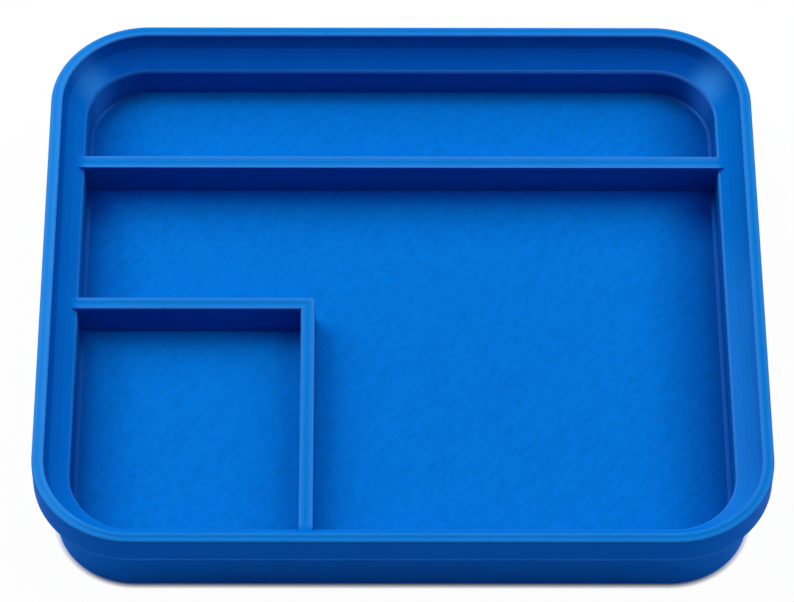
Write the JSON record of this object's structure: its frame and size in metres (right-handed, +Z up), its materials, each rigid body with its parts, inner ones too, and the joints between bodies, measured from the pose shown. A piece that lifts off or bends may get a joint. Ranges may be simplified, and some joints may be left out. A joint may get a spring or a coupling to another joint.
{
  "type": "magnetic parts tray",
  "caption": "Low rounded-rectangular stacking tray with a stepped rim, dividers that make compartments, and magnets under the floor that hold small steel parts.",
  "frame": {"origin": "middle of the underside, on the surface that the tray stands on", "axes": "+X to the right along the long side, +Y to the back where the full-width divider is, +Z up out of the open top"},
  "size_m": [0.135, 0.12, 0.02],
  "materials": {
    "tray_plastic": "blue printed plastic with a soft sheen, fine layer lines on the walls and diagonal lines on the floor",
    "magnet_nickel": "nickel-plated disc magnet",
    "screw_steel": "plain steel countersunk screw"
  },
  "bodies": {
    "root": {"tray_body": "tray_plastic", "base_cover": "tray_plastic", "cover_screws": "screw_steel", "rear_divider": "tray_plastic", "corner_divider": "tray_plastic", "magnet_01": "magnet_nickel", "magnet_02": "magnet_nickel", "magnet_03": "magnet_nickel", "magnet_04": "magnet_nickel", "magnet_05": "magnet_nickel", "magnet_06": "magnet_nickel", "magnet_07": "magnet_nickel", "magnet_08": "magnet_nickel", "magnet_09": "magnet_nickel", "magnet_10": "magnet_nickel", "magnet_11": "magnet_nickel", "magnet_12": "magnet_nickel", "magnet_13": "magnet_nickel", "magnet_14": "magnet_nickel", "magnet_15": "magnet_nickel", "magnet_16": "magnet_nickel", "magnet_17": "magnet_nickel", "magnet_18": "magnet_nickel", "magnet_19": "magnet_nickel", "magnet_20": "magnet_nickel"}
  },
  "joints": []
}
